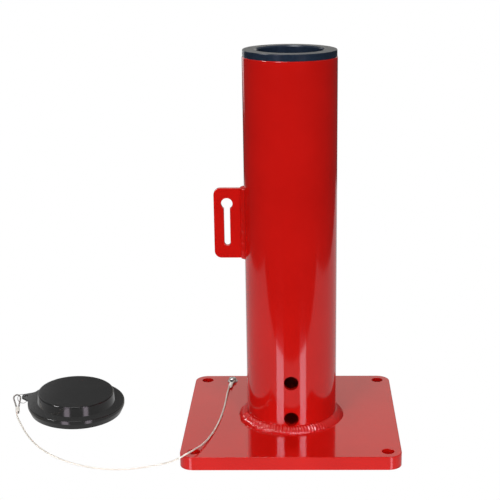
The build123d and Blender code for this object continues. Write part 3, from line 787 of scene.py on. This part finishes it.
# ---- floor, light and camera ---------------------------------------------------------------------
# A white studio: to the eye the floor and background are plain white, while the glossy paint
# finds a white table close by, a dark room beyond it, and two tall soft boxes beside the camera.
def glowing(name, colour, strength):
    """A material that only glows."""
    made = finish_named(name)
    lit = add(made.node_tree, "ShaderNodeEmission", values={"Color": colour, "Strength": strength})
    add(made.node_tree, "ShaderNodeOutputMaterial", links={"Surface": lit.outputs["Emission"]})
    return made


def sheet_at(name, centre, size, turn, material, eye=False, matt=False, gloss=False):
    """A flat sheet that is seen by the eye, by matt surfaces or by gloss."""
    bpy.ops.object.select_all(action="DESELECT")
    bpy.ops.mesh.primitive_plane_add(size=1, location=centre, rotation=turn)
    made = bpy.context.object
    made.name = name
    made.scale = (size[0], size[1], 1)
    made.data.materials.append(material)
    made.visible_camera = eye
    made.visible_diffuse = matt
    made.visible_glossy = gloss
    made.visible_transmission = False
    made.visible_shadow = False
    return made


def facing(centre, target):
    """The turn that points a sheet or a light at a place."""
    return (Vector(target) - Vector(centre)).to_track_quat("-Z", "Y").to_euler()


LEVEL = (0, 0, 0)
sheet_at("floor", (0, 0, -0.0004), (24, 24), LEVEL, glowing("Floor, white", grey(1.0), 1.0),
         eye=True)
sheet_at("bounce", (0, 0.4, -0.0006), (1.6, 1.5), LEVEL, glowing("Bounce", grey(1.0), 1.1),
         matt=True)
# The ground under the plate gets no light, so the anchor holes stay dark inside.
sheet_at("under_plate", (0, 0, -0.0003), (0.25, 0.25), LEVEL,
         glowing("Ground under the plate", grey(0.0), 0.0), matt=True)

# What gloss finds at ground level: a table that glows and lets its lights' images through, with
# the floor of a dark room round it.
TABLE_LEFT, TABLE_RIGHT, TABLE_FRONT, TABLE_BACK = -0.75, 0.75, -0.33, 1.3
TABLE_GLOW = 0.5
ROOM_GLOW = 0.05
ROOM_CLEAR = 0.12                       # how much of what is below shows through the dark floor
table = finish_named("Table in reflections")
tree = table.node_tree
place = add(tree, "ShaderNodeTexCoord").outputs["Object"]
parts = add(tree, "ShaderNodeSeparateXYZ", links={"Vector": place})
inside = None
for axis, low_edge, high_edge in (("X", TABLE_LEFT, TABLE_RIGHT), ("Y", TABLE_FRONT, TABLE_BACK)):
    above = add(tree, "ShaderNodeMath", settings={"operation": "GREATER_THAN"}, values={1: low_edge},
                links={0: parts.outputs[axis]})
    below = add(tree, "ShaderNodeMath", settings={"operation": "LESS_THAN"}, values={1: high_edge},
                links={0: parts.outputs[axis]})
    within = add(tree, "ShaderNodeMath", settings={"operation": "MULTIPLY"},
                 links={0: above.outputs[0], 1: below.outputs[0]})
    inside = within if inside is None else add(
        tree, "ShaderNodeMath", settings={"operation": "MULTIPLY"},
        links={0: inside.outputs[0], 1: within.outputs[0]})
near = add(tree, "ShaderNodeEmission", values={"Color": grey(1.0), "Strength": TABLE_GLOW})
clear = add(tree, "ShaderNodeBsdfTransparent", values={"Color": grey(1.0)})
polished = add(tree, "ShaderNodeAddShader")
tree.links.new(near.outputs["Emission"], polished.inputs[0])
tree.links.new(clear.outputs["BSDF"], polished.inputs[1])
far_glow = add(tree, "ShaderNodeEmission", values={"Color": grey(1.0), "Strength": ROOM_GLOW})
far_clear = add(tree, "ShaderNodeBsdfTransparent", values={"Color": grey(ROOM_CLEAR)})
far = add(tree, "ShaderNodeAddShader")
tree.links.new(far_glow.outputs["Emission"], far.inputs[0])
tree.links.new(far_clear.outputs["BSDF"], far.inputs[1])
both = add(tree, "ShaderNodeMixShader", links={"Fac": inside.outputs[0]})
tree.links.new(far.outputs["Shader"], both.inputs[1])
tree.links.new(polished.outputs["Shader"], both.inputs[2])
add(tree, "ShaderNodeOutputMaterial", links={"Surface": both.outputs["Shader"]})
bpy.ops.mesh.primitive_plane_add(size=12, location=(0, 0, -0.0002))
table_sheet = bpy.context.object
table_sheet.name = "table"
table_sheet.data.materials.append(table)
table_sheet.visible_camera = False
table_sheet.visible_diffuse = False
table_sheet.visible_shadow = False

# Each soft box has a dimmer twin below the table, which is its image in the table's polish.
SOFT_BOX_AWAY = 1.5
SOFT_BOX_SIDE = math.radians(29.5)
SOFT_BOX_WIDE = 0.40
SOFT_BOX_TINT = (1.0, 0.86, 1.0, 1.0)
FOOT_ONCE, FOOT_TWICE = 2.5, 26.0       # strength of its foot in one mirror, and in two
soft_box = glowing("Soft box", SOFT_BOX_TINT, 12.0)
soft_box_image = glowing("Soft box in the table", SOFT_BOX_TINT, 3.4)
# The foot of each box is dim where a surface mirrors it directly, so that level faces stay dark
# from behind, and bright where it is mirrored twice, as in the plate's picture of the sleeve.
soft_box_foot = glowing("Soft box, foot", SOFT_BOX_TINT, 1.0)
tree = soft_box_foot.node_tree
bounces = add(tree, "ShaderNodeLightPath").outputs["Ray Depth"]
foot_glow = add(tree, "ShaderNodeMapRange", links={"Value": bounces},
                values={"From Min": 1.4, "From Max": 1.6, "To Min": FOOT_ONCE, "To Max": FOOT_TWICE})
for node in tree.nodes:
    if node.type == "EMISSION":
        tree.links.new(foot_glow.outputs["Result"], node.inputs["Strength"])
for hand in (-1, 1):
    for up, height, tall, glow in ((1, 1.35, 0.86, soft_box), (2, 0.65, 0.54, soft_box_foot),
                                   (-1, -1.08, 1.4, soft_box_image)):
        spot = (hand * SOFT_BOX_AWAY * math.sin(SOFT_BOX_SIDE),
                -SOFT_BOX_AWAY * math.cos(SOFT_BOX_SIDE), height)
        sheet_at(f"soft_box_{hand}_{up}", spot, (SOFT_BOX_WIDE, tall),
                 facing(spot, (0, 0, height)), glow, gloss=True)
# Two lamps make the small highlights: one overhead, and one high on the left.
sheet_at("overhead", (-0.25, -0.15, 2.0), (0.5, 0.5), LEVEL,
         glowing("Overhead", grey(1.0), 7.0), gloss=True)
LEFT_LAMP = (-1.3, -0.5, 1.3)
sheet_at("left_lamp", LEFT_LAMP, (0.3, 0.4), facing(LEFT_LAMP, (0, 0, 0)),
         glowing("Left lamp", grey(1.0), 50.0), gloss=True)
# A white screen stands behind, which the level plate and the bush's face mirror, with a narrower
# card to its left that leans over.
sheet_at("screen", (0.09, 1.5, 0.85), (0.87, 1.1), facing((0, 1.5, 0.8), (0, 0, 0.8)),
         glowing("Screen", (1.0, 0.97, 0.9, 1.0), 0.86), gloss=True)
sheet_at("slanted_card", (-0.97, 1.5, 0.8), (0.64, 1.3), (math.radians(90), math.radians(-22), 0),
         glowing("Slanted card", grey(1.0), 1.15), gloss=True)

# The room is dark below and paler overhead for light and gloss, and plain white to the eye.
world = bpy.data.worlds.new("studio")
world.use_nodes = True
bpy.context.scene.world = world
tree = world.node_tree
tree.nodes.clear()
way = add(tree, "ShaderNodeTexCoord").outputs["Generated"]
parts = add(tree, "ShaderNodeSeparateXYZ", links={"Vector": way})
height = add(tree, "ShaderNodeMapRange", values={"From Min": -1.0, "From Max": 1.0},
             links={"Value": parts.outputs["Z"]})
room = add(tree, "ShaderNodeValToRGB", links={"Fac": height.outputs["Result"]})
ramp_stops(room, [(0.0, grey(0.02)), (0.5, grey(0.04)), (0.62, grey(0.12)), (0.8, grey(0.3)),
                  (1.0, grey(0.4))])
seen = add(tree, "ShaderNodeLightPath")
dim = add(tree, "ShaderNodeBackground", values={"Strength": 1.0}, links={"Color": room.outputs["Color"]})
white = add(tree, "ShaderNodeBackground", values={"Color": grey(1.0), "Strength": 1.0})
both = add(tree, "ShaderNodeMixShader", links={"Fac": seen.outputs["Is Camera Ray"]})
tree.links.new(dim.outputs["Background"], both.inputs[1])
tree.links.new(white.outputs["Background"], both.inputs[2])
add(tree, "ShaderNodeOutputWorld", links={"Surface": both.outputs["Shader"]})


def soft_light(name, centre, target, size, power):
    """A rectangular studio light that points at a place and doesn't show in gloss."""
    data = bpy.data.lights.new(name, "AREA")
    data.shape = "RECTANGLE"
    data.size, data.size_y = size
    data.energy = power
    made = bpy.data.objects.new(name, data)
    bpy.context.scene.collection.objects.link(made)
    made.location = centre
    made.rotation_euler = facing(centre, target)
    made.visible_glossy = False
    return made


soft_light("key", (-0.9, -1.9, 1.1), (0, 0, 0.2), (0.6, 1.2), 24.6)
soft_light("fill", (0.8, -1.9, 1.0), (0, 0, 0.2), (0.6, 1.2), 17)
soft_light("top", (0.0, 0.2, 2.2), (0, 0, 0), (1.2, 1.2), 13)

# The camera looks a little down from the front, with a longish lens, at 1.4 m.
CAMERA_SPOT = (0.015451, -1.400794, 0.612602)
CAMERA_TURN = (71.9815, 0.1685, 0.137)  # degrees
lens = bpy.data.cameras.new("camera")
lens.sensor_width = 36.0
lens.lens = 88.826
lens.shift_x = -0.1003
lens.shift_y = 0.1082
camera = bpy.data.objects.new("camera", lens)
camera.location = CAMERA_SPOT
camera.rotation_euler = [math.radians(turn) for turn in CAMERA_TURN]
bpy.context.scene.collection.objects.link(camera)
bpy.context.scene.camera = camera
bpy.context.scene.view_settings.view_transform = "Standard"
